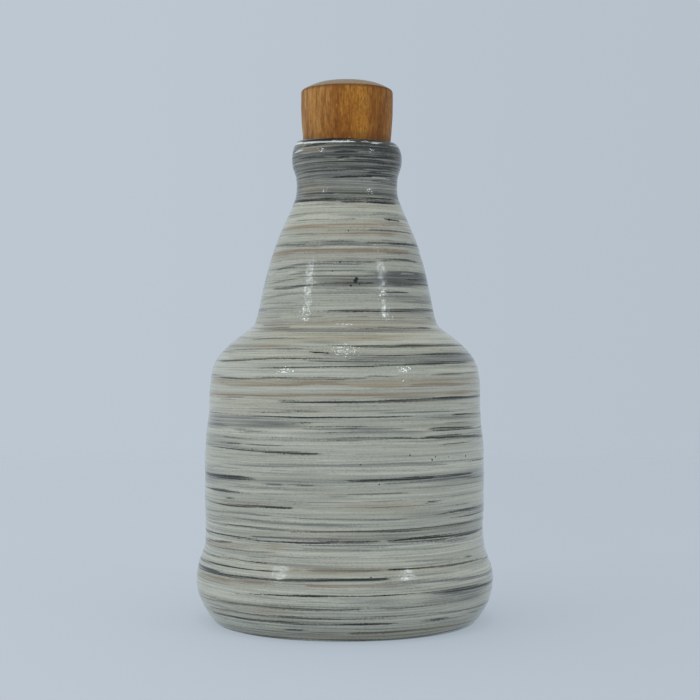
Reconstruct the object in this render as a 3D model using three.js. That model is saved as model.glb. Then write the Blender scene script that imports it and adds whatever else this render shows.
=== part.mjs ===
// Wheel-thrown terracotta water bottle with a turned wooden stopper.
// Millimetres, +Z up. The origin is at the centre of the foot, on the surface that the bottle stands on.
// Both pieces are bodies of revolution: each has a half profile in radius and height, turned about Z.

import * as THREE from "three";

// Foot: a flat unglazed ring round a shallow hollow
const footRadius = 53;
const footRingWidth = 9;
const footHollow = 1.6;
const footHollowSlope = 3; // how much the hollow narrows towards its top
const footEdgeSlope = 42; // degrees above level where the outside leaves the ground

// Rolled foot, body wall and shoulder, each height measured from the one below it
const rollRadius = 60.6;
const rollRise = 16.2;
const waistRadius = 56.8;
const waistRise = 18.8;
const bellyRadius = 57.1;
const bellyRise = 27;
const wallTopRadius = 55;
const wallTopRise = 36;
const creaseRadius = 37.4;
const shoulderRise = 21.6;
const shoulderSlope = 35; // degrees above level where the shoulder meets the crease
const creaseFillet = 2.2;

// Bell-shaped upper part, neck and rolled lip
const bellRise = 52.4;
const bellLowSlope = 77.5; // degrees above level at the crease
const bellHighSlope = 65.5; // degrees above level below the neck
const neckFillet = 4.2;
const neckRise = 5.6;
const lipFlareRise = 9.8;
const lipRollRise = 7.2;
const lipOverhang = 1.85;
const mouthEdge = 1.7; // rounding between the crest of the lip and the mouth

// Clay thickness
const wallThickness = 5;
const neckWall = 4.55;
const floorThickness = 5.4; // above the hollow of the foot
const floorCorner = 11.5;

// Stopper and the tapered mouth that it wedges into
const mouthRadius = 17.67; // at the crest of the lip
const stopperTaper = 4; // degrees from its axis
const seatClearance = 0.25;
const stopperHead = 20.9; // from the lip to the edge of the domed top
const stopperShank = 22; // inside the neck
const stopperEdge = 1.1; // rounding between side and dome
const stopperDome = 4.1;
const shankChamfer = 1.2;
const boreRunOut = 2; // how far the tapered bore goes on below the shank

// Facets
const facetsRound = 64;
const facetTurn = 13; // degrees that a profile turns between two points
const facetLength = 13; // longest straight step on a curved stretch
const turnSamples = 24; // places where the turning of a curve is measured

// How far the handles of a curve reach along the stretch that it spans
const slackReach = 1 / 3;
const evenReach = 0.5;
const roundReach = 0.6;

const vec = (radius, height) => new THREE.Vector2(radius, height);
const radians = (degrees) => THREE.MathUtils.degToRad(degrees);
const reach = (way, length) => way.clone().multiplyScalar(length);

// Directions in a profile
const up = vec(0, 1);
const down = vec(0, -1);
const inwards = vec(-1, 0);
const risingOut = (slope) => vec(Math.cos(radians(slope)), Math.sin(radians(slope)));
const risingIn = (slope) => vec(-Math.cos(radians(slope)), Math.sin(radians(slope)));

// Continues a path with a smooth curve that leaves and arrives along two handles.
function curveTo(path, end, leave, arrive) {
  const first = path.currentPoint.clone().add(leave);
  const second = end.clone().sub(arrive);
  path.bezierCurveTo(first.x, first.y, second.x, second.y, end.x, end.y);
}

// Continues a path upright from its last point to another, as a thrown wall swells and narrows.
function uprightTo(path, end) {
  const handle = reach(up, (end.y - path.currentPoint.y) * evenReach);
  curveTo(path, end, handle, handle);
}

// The number of straight steps that follow a curve as closely as the facet sizes ask.
function stepsAlong(curve) {
  if (curve.isLineCurve) return 1;
  let turn = 0;
  for (let i = 0; i < turnSamples; i++) {
    const before = curve.getTangent(i / turnSamples);
    const after = curve.getTangent((i + 1) / turnSamples);
    turn += Math.abs(Math.atan2(before.cross(after), before.dot(after)));
  }
  return Math.ceil(Math.max(turn / radians(facetTurn), curve.getLength() / facetLength));
}

// Points along a path, each moved square to it by inset: to the left of its direction, which is into the clay
// on an outer wall that is drawn upwards.
function pointsAlong(path, inset = 0) {
  const points = [];
  for (const curve of path.curves) {
    const steps = stepsAlong(curve);
    for (let i = points.length ? 1 : 0; i <= steps; i++) {
      const tangent = curve.getTangent(i / steps);
      const point = curve.getPoint(i / steps);
      points.push(vec(point.x - inset * tangent.y, point.y + inset * tangent.x));
    }
  }
  return points;
}

// A profile turned into a closed body of revolution about Z.
function turned(profile) {
  return new THREE.LatheGeometry(profile, facetsRound).rotateX(Math.PI / 2);
}

// Heights and radii that follow from the sizes above
const waistHeight = rollRise + waistRise;
const bellyHeight = waistHeight + bellyRise;
const wallTopHeight = bellyHeight + wallTopRise;
const creaseHeight = wallTopHeight + shoulderRise;
const neckHeight = creaseHeight + bellRise;
const lipFlareHeight = neckHeight + neckRise;
const lipHeight = lipFlareHeight + lipFlareRise;
const crestHeight = lipHeight + lipRollRise;
const floorHeight = footHollow + floorThickness;

const taper = Math.tan(radians(stopperTaper));
const boreAt = (height) => mouthRadius - (crestHeight - height) * taper;
const neckRadius = boreAt(neckHeight) + neckWall;
const lipRadius = neckRadius + lipOverhang;

function bottleBody() {
  // Underside, foot ring and the lower half of the rolled foot
  const hollowEdge = footRadius - footRingWidth;
  const foot = new THREE.Path();
  foot.moveTo(0, footHollow);
  foot.lineTo(hollowEdge - footHollowSlope, footHollow);
  foot.lineTo(hollowEdge, 0);
  foot.lineTo(footRadius, 0);
  const footLeave = reach(risingOut(footEdgeSlope), (rollRadius - footRadius) * evenReach);
  curveTo(foot, vec(rollRadius, rollRise), footLeave, reach(up, rollRise * slackReach));

  // Wall from the rolled foot to the neck, which has clay of one thickness behind it
  const shoulderWay = risingIn(shoulderSlope);
  const bellLowWay = risingIn(bellLowSlope);
  const bellHighWay = risingIn(bellHighSlope);
  const crease = vec(creaseRadius, creaseHeight);
  const neckCorner = vec(neckRadius, neckHeight);
  const shoulderEnd = crease.clone().addScaledVector(shoulderWay, -creaseFillet);
  const bellStart = crease.clone().addScaledVector(bellLowWay, creaseFillet);
  const bellEnd = neckCorner.clone().addScaledVector(bellHighWay, -neckFillet);
  const shoulderReach = (wallTopRadius - creaseRadius) * evenReach;
  const bellReach = (bellEnd.y - bellStart.y) * evenReach;

  const wall = new THREE.Path();
  wall.moveTo(rollRadius, rollRise);
  uprightTo(wall, vec(waistRadius, waistHeight));
  uprightTo(wall, vec(bellyRadius, bellyHeight));
  uprightTo(wall, vec(wallTopRadius, wallTopHeight));
  curveTo(wall, shoulderEnd, reach(up, shoulderReach), reach(shoulderWay, shoulderReach));
  wall.quadraticCurveTo(crease.x, crease.y, bellStart.x, bellStart.y);
  curveTo(wall, bellEnd, reach(bellLowWay, bellReach), reach(bellHighWay, bellReach));

  // Neck and rolled lip, down into the mouth
  const mouthTop = vec(boreAt(crestHeight - mouthEdge), crestHeight - mouthEdge);
  const crest = vec(mouthTop.x + mouthEdge, crestHeight);
  const mouthTurn = mouthEdge * evenReach;
  const neck = new THREE.Path();
  neck.moveTo(bellEnd.x, bellEnd.y);
  neck.quadraticCurveTo(neckCorner.x, neckCorner.y, neckRadius, neckHeight + neckFillet * roundReach);
  neck.lineTo(neckRadius, lipFlareHeight);
  uprightTo(neck, vec(lipRadius, lipHeight));
  const lipTurn = reach(inwards, (lipRadius - crest.x) * evenReach);
  curveTo(neck, crest, reach(up, lipRollRise * roundReach), lipTurn);
  curveTo(neck, mouthTop, reach(inwards, mouthTurn), reach(down, mouthTurn));

  // Tapered bore, then the inside of the wall from the top down, and the floor
  const innerWall = pointsAlong(wall, wallThickness).reverse();
  const boreEndHeight = crestHeight - stopperShank - boreRunOut;
  const boreReach = (boreEndHeight - innerWall[0].y) * slackReach;
  const bore = new THREE.Path();
  bore.moveTo(mouthTop.x, mouthTop.y);
  bore.lineTo(boreAt(boreEndHeight), boreEndHeight);
  curveTo(bore, innerWall[0], reach(down, boreReach), reach(bellHighWay, -boreReach));

  const wallFoot = innerWall.at(-1);
  const cornerDrop = (wallFoot.y - floorHeight) * roundReach;
  const cornerEnd = vec(wallFoot.x - floorCorner, floorHeight);
  const floor = new THREE.Path();
  floor.moveTo(wallFoot.x, wallFoot.y);
  curveTo(floor, cornerEnd, reach(down, cornerDrop), reach(inwards, floorCorner * roundReach));
  floor.lineTo(0, floorHeight);

  return turned([
    ...pointsAlong(foot),
    ...pointsAlong(wall).slice(1),
    ...pointsAlong(neck).slice(1),
    ...pointsAlong(bore).slice(1),
    ...innerWall.slice(1),
    ...pointsAlong(floor).slice(1),
  ]);
}

// The stopper's profile has its zero height at the crest of the lip.
function stopperBody() {
  const sideAt = (height) => mouthRadius - seatClearance + height * taper;
  const edge = vec(sideAt(stopperHead), stopperHead);
  const domeStart = vec(edge.x - stopperEdge, stopperHead + stopperEdge * evenReach);
  const top = vec(0, stopperHead + stopperDome);
  const domeRun = domeStart.x * slackReach;

  const side = new THREE.Path();
  side.moveTo(0, -stopperShank);
  side.lineTo(sideAt(-stopperShank) - shankChamfer, -stopperShank);
  side.lineTo(sideAt(shankChamfer - stopperShank), shankChamfer - stopperShank);
  side.lineTo(sideAt(stopperHead - stopperEdge), stopperHead - stopperEdge);
  side.quadraticCurveTo(edge.x, edge.y, domeStart.x, domeStart.y);
  curveTo(side, top, vec(-domeRun, top.y - domeStart.y), reach(inwards, domeRun));
  return turned(pointsAlong(side));
}

const glazedClay = new THREE.MeshStandardMaterial({ color: 0xb6b3a4, roughness: 0.25, metalness: 0 });
const varnishedWood = new THREE.MeshStandardMaterial({ color: 0x9a6630, roughness: 0.4, metalness: 0 });

const body = new THREE.Mesh(bottleBody(), glazedClay);
body.name = "bottle_body";

const stopper = new THREE.Mesh(stopperBody(), varnishedWood);
stopper.name = "stopper";
stopper.position.z = crestHeight;

const bottle = new THREE.Group();
bottle.add(body, stopper);

export default bottle;
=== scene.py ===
import math

import bpy
import numpy as np
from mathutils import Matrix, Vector


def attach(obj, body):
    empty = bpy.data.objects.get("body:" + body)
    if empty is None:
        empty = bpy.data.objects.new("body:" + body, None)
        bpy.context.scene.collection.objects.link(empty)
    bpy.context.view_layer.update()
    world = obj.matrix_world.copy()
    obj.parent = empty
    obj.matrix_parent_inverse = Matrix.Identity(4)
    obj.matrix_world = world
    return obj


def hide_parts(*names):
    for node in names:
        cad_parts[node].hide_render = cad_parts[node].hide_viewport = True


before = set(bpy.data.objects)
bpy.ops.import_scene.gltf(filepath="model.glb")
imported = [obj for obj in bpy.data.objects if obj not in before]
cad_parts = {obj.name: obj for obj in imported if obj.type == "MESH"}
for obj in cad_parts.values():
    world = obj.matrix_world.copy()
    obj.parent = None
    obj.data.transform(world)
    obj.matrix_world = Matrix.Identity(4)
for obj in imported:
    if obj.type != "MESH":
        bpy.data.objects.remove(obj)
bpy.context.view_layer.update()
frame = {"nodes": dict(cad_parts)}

mm = 0.001
tiny = 1e-6  # a micrometre, for telling places apart
print("frame loaded:", ", ".join(frame["nodes"]))


# camera: where the photograph was taken from

photo = {
    "sidePx": 700,
    "focalPx": 1550,
    "middlePx": 350,
    "horizonPx": 354,
    "distance": 635 * mm,
    "height": 108 * mm,
    "aside": 1.25 * mm,
    "sensorWidth": 36,  # mm
    "sightSteps": 30,  # rounds in which a line of sight closes in on the bottle
}


def makeCamera():
    lens = bpy.data.cameras.new("photoCamera")
    lens.sensor_width = photo["sensorWidth"]
    lens.lens = lens.sensor_width * photo["focalPx"] / photo["sidePx"]
    camera = bpy.data.objects.new("photoCamera", lens)
    camera.location = (photo["aside"], -photo["distance"], photo["height"])
    tilt = math.atan((photo["horizonPx"] - photo["middlePx"]) / photo["focalPx"])
    camera.rotation_euler = (math.pi / 2 + tilt, 0, 0)
    bpy.context.scene.collection.objects.link(camera)
    bpy.context.scene.camera = camera


makeCamera()
print("camera placed")


# colour and node helpers

def paint(red, green, blue):  # screen colour, 0 to 255, as linear light
    linear = []
    for share in (red / 255, green / 255, blue / 255):
        linear.append(((share + 0.055) / 1.055) ** 2.4 if share > 0.04 else share / 12.92)
    return tuple(linear)


def rgba(colour):
    return (*colour, 1)


def newMaterial(name):
    material = bpy.data.materials.new(name)
    material.use_nodes = True
    material.node_tree.nodes.clear()
    return material, material.node_tree


def addNode(tree, kind, sockets=(), **settings):
    made = tree.nodes.new("ShaderNode" + kind)
    for name, value in settings.items():
        setattr(made, name, value)
    for name, value in dict(sockets).items():
        if isinstance(value, bpy.types.NodeSocket):
            tree.links.new(value, made.inputs[name])
        else:
            made.inputs[name].default_value = value
    return made


def maths(tree, operation, *values, clamp=False):
    made = addNode(tree, "Math", enumerate(values), operation=operation, use_clamp=clamp)
    return made.outputs[0]


def blendColour(tree, amount, under, over, how="MIX"):
    sockets = {0: amount, 6: under, 7: over}  # the Mix node's colour sockets
    return addNode(tree, "Mix", sockets, data_type="RGBA", blend_type=how).outputs[2]


def ramp(tree, value, low, high):  # 0 below low, 1 above high, smooth between
    sockets = {"Value": value, "From Min": low, "From Max": high}
    return addNode(tree, "MapRange", sockets, interpolation_type="SMOOTHSTEP").outputs[0]


def span(tree, value, low, high):  # a 0 to 1 value as low to high
    return addNode(tree, "MapRange", {"Value": value, "To Min": low, "To Max": high}).outputs[0]


def tinted(tree, under, cover, colour, share):
    return blendColour(tree, maths(tree, "MULTIPLY", cover, share), under, rgba(colour))


noiseSpread = (0.3, 0.7)  # where the values of a noise mostly lie


def noise(tree, vector, detail=2, rough=0.5):
    sockets = {"Vector": vector, "Scale": 1, "Detail": detail, "Roughness": rough}
    return addNode(tree, "TexNoise", sockets).outputs[0]


def objectPlace(tree):
    return addNode(tree, "TexCoord").outputs["Object"]


def stretched(tree, place, wide, high, shift=(0, 0, 0)):  # place in patches of that size
    sockets = {0: place, 1: (1 / wide, 1 / wide, 1 / high), 2: shift}
    return addNode(tree, "VectorMath", sockets, operation="MULTIPLY_ADD").outputs[0]


def noises(tree, place, sizes):  # sizes: width and height in mm, shift, detail, roughness
    made = {}
    for name, (wide, high, shift, detail, rough) in sizes.items():
        made[name] = noise(tree, stretched(tree, place, wide * mm, high * mm, shift), detail, rough)
    return made


def readValue(tree, name):
    return addNode(tree, "Attribute", attribute_name=name).outputs["Fac"]


def readColour(tree, name):
    made = addNode(tree, "Attribute", attribute_name=name)
    return made.outputs["Color"], made.outputs["Alpha"]


# turned forms, from the outlines of the CAD nodes

def readOutline(node):  # radius and height of each point of a turned node, in order along its outline
    mesh = frame["nodes"][node].data
    spots = {}
    for vertex in mesh.vertices:
        x, y, z = vertex.co
        onFront = abs(x) < tiny and y <= tiny
        if onFront:
            spots[vertex.index] = (round(abs(y), 6), round(z, 6))
    links = {}
    for edge in mesh.edges:
        a, b = (spots.get(i) for i in edge.vertices)
        if a and b and a != b:
            links.setdefault(a, set()).add(b)
            links.setdefault(b, set()).add(a)
    spot = min(links)  # lowest point on the axis
    line = [spot]
    while links[spot] - set(line):
        spot = min(links[spot] - set(line))
        line.append(spot)
    return np.array(line)


def smoothOutline(points, straight, steps=16):  # straight up to the point of that number, then curved
    runs = np.diff(points, axis=0)
    lengths = np.hypot(*runs.T)
    ways = runs / lengths[:, None]
    arriving = np.vstack([ways[:1], ways])
    leaving = np.vstack([ways, ways[-1:]])
    before = np.append(lengths[0], lengths)[:, None]
    after = np.append(lengths, lengths[-1])[:, None]
    smooth = arriving * after + leaving * before
    smooth /= np.hypot(*smooth.T)[:, None]
    sharp = (np.arange(len(points)) <= straight)[:, None]
    start = np.where(sharp, leaving, smooth)[:-1] * lengths[:, None]
    end = np.where(sharp, arriving, smooth)[1:] * lengths[:, None]
    line = []
    for t in np.linspace(0, 1, steps, endpoint=False):
        line.append(points[:-1] * (1 - 3 * t**2 + 2 * t**3) + points[1:] * (3 * t**2 - 2 * t**3)
                    + start * (t - 2 * t**2 + t**3) + end * (t**3 - t**2))
    line = np.stack(line, 1).reshape(-1, 2)
    return np.vstack([line, points[-1:]]), np.arange(1, straight + 1) * steps


def measure(line):  # length along a line up to each of its points
    return np.append(0, np.cumsum(np.hypot(*np.diff(line, axis=0).T)))


def restep(line, stops, steps):  # the line with an even step on each stretch between stops
    lengths = measure(line)
    wanted = []
    for a, b, step in zip(stops[:-1], stops[1:], steps):
        wanted.append(np.linspace(a, b, max(2, round((b - a) / step)), endpoint=False))
    wanted = np.append(np.concatenate(wanted), stops[-1])
    places = [np.interp(wanted, lengths, side) for side in line.T]
    return np.stack(places, 1), wanted


def squareTo(line):  # outward direction at each point of an outline
    ways = np.gradient(line, axis=0)
    ways /= np.maximum(np.hypot(*ways.T)[:, None], tiny)
    return np.stack([ways[:, 1], -ways[:, 0]], 1)


def turnedMesh(name, places, upward):  # rings of points, the first and last ring closed to one point each
    rings, around, _ = places.shape
    middle = places[1:-1].reshape(-1, 3)
    points = np.vstack([places[0].mean(0), middle, places[-1].mean(0)])
    grid = 1 + np.arange((rings - 2) * around).reshape(rings - 2, around)
    beside = np.roll(grid, -1, axis=1)
    quads = np.stack([grid[:-1], beside[:-1], beside[1:], grid[1:]], -1).reshape(-1, 4)
    first = np.stack([np.zeros(around, int), beside[0], grid[0]], -1)
    last = np.stack([grid[-1], beside[-1], np.full(around, len(points) - 1)], -1)
    mesh = bpy.data.meshes.new(name)
    mesh.from_pydata(points.tolist(), [], quads.tolist() + first.tolist() + last.tolist())
    mesh.polygons.foreach_set("use_smooth", np.ones(len(mesh.polygons), bool))

    # one flat map: round the piece from left to right, along its outline from bottom to top
    left, right = np.arange(around) / around, np.arange(1, around + 1) / around
    low, high = (np.repeat(v, around) for v in (upward[1:-2], upward[2:-1]))
    a, b = (np.tile(u, rings - 3) for u in (left, right))
    flat = np.stack([a, low, b, low, b, high, a, high], -1).ravel()
    ends = []
    for tip, edge, corners in ((upward[0], upward[1], "tip b a"), (upward[-1], upward[-2], "a b tip")):
        at = {"tip": ((left + right) / 2, tip), "a": (left, edge), "b": (right, edge)}
        spots = [np.broadcast_to(side, around) for corner in corners.split() for side in at[corner]]
        ends.append(np.stack(spots, -1).ravel())
    layer = mesh.uv_layers.new(name="OFBake", do_init=False)
    layer.uv.foreach_set("vector", np.concatenate([flat, *ends]).astype(np.float32))
    mesh.update()
    return mesh


hiddenShare = 0.3  # share of the map's fineness that hidden stretches get


def mapShare(lengths, shown):  # 0 to 1 along an outline, with less for the hidden stretches
    steps = np.diff(lengths) * np.where(shown[1:] & shown[:-1], 1, hiddenShare)
    return np.append(0, np.cumsum(steps)) / steps.sum()


def perPoint(values):  # one value per ring and turn, as one value per mesh point
    return np.concatenate([values[0][:1], values[1:-1].reshape(-1, *values.shape[2:]), values[-1][:1]])


def storeValue(mesh, name, values):
    layer = mesh.attributes.new(name, "FLOAT", "POINT")
    layer.data.foreach_set("value", perPoint(values).astype(np.float32).ravel())


def storeColour(mesh, name, values):
    layer = mesh.attributes.new(name, "FLOAT_COLOR", "POINT")
    layer.data.foreach_set("color", perPoint(values).astype(np.float32).ravel())


def addPiece(mesh, material, body, node):
    piece = bpy.data.objects.new(mesh.name, mesh)
    bpy.context.scene.collection.objects.link(piece)
    mesh.materials.append(material)
    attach(piece, body)
    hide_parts(node)


def soften(value, low, high):  # 0 at low, 1 at high, smooth between
    t = np.clip((value - low) / (high - low), 0, 1)
    return t * t * (3 - 2 * t)


def ripples(marks, seed, lengths, turn):  # marks: depth, pitch and how many climb in one turn
    starts = np.random.default_rng(seed).uniform(0, 2 * math.pi, len(marks))
    lift = np.zeros((len(lengths), len(turn)))
    for (depth, pitch, climbs), start in zip(marks, starts):
        lift += depth * np.sin(2 * math.pi * lengths[:, None] / pitch + climbs * turn + start)
    return lift


# glazed bottle

bottle = {
    "around": 144,
    "ringStep": 0.375 * mm,
    "underStep": 2 * mm,
    "insideStep": 3 * mm,
    "mouthDepth": 4 * mm,  # how far the fine rings go on past the crest of the lip
    # how far the axis leans aside at each height, as the potter left it
    "leanHeights": [0, 30 * mm, 80 * mm, 112 * mm, 140 * mm, 172 * mm],
    "leans": [-0.65 * mm, -1.0 * mm, -1.0 * mm, -0.5 * mm, -0.25 * mm, 0],
    "lipDrop": (0.55 * mm, 0.8 * mm),  # how far the lip sinks to the right and to the front
    "lipHeights": (184 * mm, 193 * mm),  # where that sets in and is full
    "leanLeast": 20 * mm,  # the underside leans less inside this radius
    "oval": 0.25 * mm,
    "ovalTurn": 0.8,
    "ovalStart": (4 * mm, 20 * mm),
    "ovalEnd": (150 * mm, 175 * mm),
    "ovalLeast": 30 * mm,  # no oval inside this radius
    # throwing ridges: depth, pitch and how many climb in one turn
    "ridges": [(0.025 * mm, 3.1 * mm, 1), (0.03 * mm, 4.7 * mm, -1), (0.024 * mm, 1.5 * mm, 2),
               (0.08 * mm, 13 * mm, 1), (0.07 * mm, 21 * mm, 0)],
    "ridgeStart": (2 * mm, 8 * mm),
    "ridgeFade": (60 * mm, 120 * mm),  # the ridges get finer between these heights
    "neckRidges": 0.3,
    "seed": 7,
    # sways of a stroke and of the pressure on it: how far each goes, how many in one turn
    "wander": [(0.06 * mm, 3), (0.03 * mm, 8)],
    "pressing": [(0.12, 5), (0.1, 13)],
    "taper": 9 * mm,
    "tipWidth": 0.35,  # width that is left at the ends of a line
    "lineHalf": 0.42,  # half width of a line without its blurred edge
    "washGive": 0.3,  # share of a wash's width that follows the pressure
    "backShift": 1.6 * mm,
    "fadeEnd": 2 * mm,
    "edgeBlur": 0.5 * mm,
    "washEdge": 1.2 * mm,
    "strokeReach": 4 * mm,  # rings further than this from a line are left as they are
    "wrapTurn": math.radians(66),  # a stroke that ends past this turn runs on round the side
    "runOn": (0.3, 1.1),  # how far it runs on
    "backTurn": math.radians(98),  # how far the strokes of the unseen half reach to each side of its middle
    "glazeFoot": -1.5 * mm,  # where the glaze ends, past the edge of the foot ring
    "glazeMouth": 12 * mm,  # how far the glaze goes down inside the mouth
    "glazeBlur": 2 * mm,
}

tones = {
    "ink": paint(30, 34, 33),
    "slate": paint(92, 96, 97),
    "smoke": paint(126, 130, 125),
    "tan": paint(156, 142, 118),
    "rust": paint(134, 116, 96),
    "umber": paint(82, 80, 72),
    "plum": paint(98, 95, 101),
    "milk": paint(196, 200, 189),
    # painted highlight: near-white glints along the lip
    "frost": paint(230, 234, 230),
}

# brush lines: tone, strength, width in mm, then the photograph's pixels that the line passes through,
# with the brush's pressure there where it isn't 1
lipLines = [
    # dark paint along the crest of the lip, deepened into painted shade where the stopper sits in the lip
    ("ink", 1, 2.2, (297, 141.8), (309, 139.8, 2), (326, 138.8, 1.6), (344, 138.2), (358, 138.4, 0.8)),
    ("ink", 0.9, 1.2, (358, 140), (377, 141.2), (396, 143.8)),
    # painted highlights: broken near-white glints along the crest of the lip
    ("frost", 1, 1, (298, 143.4), (312, 142), (338, 141.4), (357, 141.2, 0.8)),
    ("frost", 1, 0.9, (359, 141, 0.7), (366, 141, 1.2), (370, 142.4, 0.3), (376, 142.8), (384, 142.6, 0.6)),
    ("frost", 0.8, 0.8, (388, 145, 0.6), (397, 146.4)),
    ("ink", 1, 1.2, (302, 147, 1.4), (318, 144.3, 1.4), (329, 142.8, 0.6)),
    ("ink", 0.75, 1.8, (294.5, 151.8), (303.5, 145.8)),
    # painted highlight low on the lip's left
    ("frost", 0.8, 0.8, (294, 153.2), (304, 149.6)),
    ("rust", 0.6, 0.6, (304.5, 150.6), (319, 148.4)),
    ("ink", 0.7, 1, (329, 146, 0.6), (350, 145.5), (375, 146), (398, 149)),
    ("plum", 0.7, 1.2, (336, 148.8), (352, 148.8)),
    ("ink", 0.7, 0.8, (352, 150), (398, 153)),
    ("slate", 0.8, 1.3, (296, 154), (304, 155), (320, 155)),
    ("ink", 0.6, 0.9, (295.8, 158), (328, 157.3)),
    ("ink", 1, 1.2, (334, 158.6, 1.3), (342, 157.4, 1.5), (352, 157)),
    ("milk", 0.75, 0.5, (336.5, 160.2), (346, 159.7)),
    ("ink", 0.75, 1, (352, 156.5), (375, 158), (396, 158)),
    ("plum", 0.75, 2.4, (383, 162), (400, 163.5)),
    ("ink", 0.55, 0.8, (298, 167.5), (337, 163), (368, 163.5)),
    ("ink", 0.6, 0.9, (301, 172.5), (312, 171.6, 1.2), (337, 169.6), (368, 169)),
    ("ink", 0.8, 1.3, (366, 172.2, 0.6), (393, 171.8)),
    ("ink", 0.85, 0.7, (320, 179.5, 0.8), (344, 176.9, 1.3), (361, 176.3), (393, 176.9)),
    ("milk", 0.5, 0.7, (352, 178.5), (377, 178.4), (392, 180.6)),
    ("ink", 0.8, 0.7, (344, 179.6, 0.6), (377, 181.4), (394, 185)),
    ("slate", 0.85, 1, (297, 184.2), (311, 181.4), (320, 180.4)),
    ("umber", 0.6, 1.4, (328, 190.6), (352, 190.6)),
    ("ink", 0.6, 1.5, (327, 193.4), (334, 193.4)),
    ("slate", 0.4, 0.8, (296.5, 192.4), (320, 192)),
    ("ink", 1, 1.3, (295.8, 201.4), (308, 200.5, 1.2), (328, 199.6), (344, 199.5, 0.8), (360, 199.2),
     (394, 199.8)),
    ("ink", 1, 1.4, (362, 201.6, 0.6), (378, 202), (396, 203.6)),
    ("ink", 1, 1.7, (352, 159.6, 0.6), (384, 163), (400, 164.8)),
    ("ink", 0.8, 1.6, (331, 151.8, 0.6), (346, 151.4), (360, 151.6)),
    ("ink", 0.7, 1.2, (338, 201.8, 0.8), (367, 201.6)),
]
bellLines = [
    ("slate", 0.55, 0.7, (371, 212.8), (386, 213.5), (400, 215.2)),
    ("slate", 0.65, 0.7, (295, 221), (324, 219.4), (360, 219.2)),
    ("ink", 0.8, 0.7, (383, 218.8), (401, 221.6)),
    ("umber", 0.75, 0.7, (378, 225.6, 0.5), (390, 225.6), (401, 225.6)),
    ("rust", 0.5, 1.3, (286, 229.2), (304, 226.5), (324, 225.2), (372, 223.8), (395, 224)),
    ("slate", 0.8, 0.6, (366, 229.8), (399, 231.2), (404.5, 232.2, 1.9), (410, 232.8)),
    ("smoke", 0.5, 0.8, (286, 237.2), (319, 235.4)),
    ("slate", 0.75, 0.8, (285, 242.4, 0.4), (318, 242, 0.6), (335, 241.8), (362, 241.9)),
    ("ink", 0.85, 1, (362, 242.4), (386, 243), (393, 244), (417, 246)),
    ("ink", 0.5, 0.9, (276, 246, 0.7), (290, 245), (320, 245, 0.8), (373, 245)),
    ("milk", 0.65, 0.7, (318, 247.4), (382, 247.4)),
    ("rust", 0.75, 1.6, (273, 255.4), (289, 253), (297, 251.2), (350, 250.6), (390, 250.8), (411, 252)),
    ("umber", 0.7, 0.6, (383, 252.6), (412, 253.2)),
    ("slate", 0.95, 1.3, (276, 270.6, 0.6), (284, 268), (303, 264.4), (324, 262.8), (340, 262.6, 1.4),
     (354, 262.8, 1.4), (378, 262.8)),
    ("ink", 0.65, 1.1, (377, 260.8, 0.6), (386, 260), (396, 259.6), (408, 260.6), (418, 262.8)),
    ("slate", 0.5, 0.8, (284, 277, 0.6), (290, 275.4), (303, 272.6), (320, 271.2), (368, 270.4)),
    ("ink", 0.5, 0.7, (264, 286.6, 0.7), (276.5, 282.5, 0.7), (292, 279, 0.8), (303, 277.2, 0.8),
     (322, 276.2), (378, 275.8)),
    ("ink", 0.65, 0.9, (272, 289.6), (288, 288.4, 1.2), (319, 283.8), (376, 283.2)),
    ("ink", 0.5, 0.7, (313, 287.8), (320, 287.4)),
    ("smoke", 0.65, 1, (263, 299.4), (281, 295.6), (300, 292.6)),
    ("slate", 0.6, 0.6, (322, 292.6), (370, 292.9)),
    ("ink", 0.8, 0.8, (405, 275.2, 0.7), (426, 276)),
    ("ink", 0.8, 0.9, (404, 279.4, 0.7), (412, 279.6), (426, 280)),
    ("ink", 0.8, 0.8, (391, 285.2), (408, 284.8), (429, 285.2)),
    ("ink", 1, 1, (379, 292.4, 0.3), (388, 292.6, 0.8), (400, 292.5), (405.5, 292.8, 1.4), (410, 292.8)),
    ("slate", 0.6, 0.8, (379, 296.2), (429, 296.8)),
    ("slate", 0.55, 0.8, (398, 302.4), (432, 302.4)),
    ("umber", 0.35, 0.7, (262, 308.4), (297, 307.8), (314, 307)),
    ("ink", 0.85, 1.2, (310, 311.2, 0.4), (391, 310.6), (402, 310.3, 1.7), (428, 310.2, 1.8), (436, 310.2)),
    ("slate", 0.65, 0.8, (262, 325, 0.8), (272, 325.4, 1.2), (303, 324.6)),
    # painted highlight: a thin glint along the crease under the bell
    ("milk", 0.7, 0.5, (288, 326.9), (350, 326.9)),
    ("umber", 0.7, 0.8, (258, 329.4, 0.7), (357, 328.4)),
    ("ink", 0.9, 1, (357, 328.4, 0.7), (383, 327.6), (405, 328.4), (424, 328), (434, 328.4, 0.6)),
    ("slate", 0.65, 0.7, (279, 331.7), (408, 331.2)),
]
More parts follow.
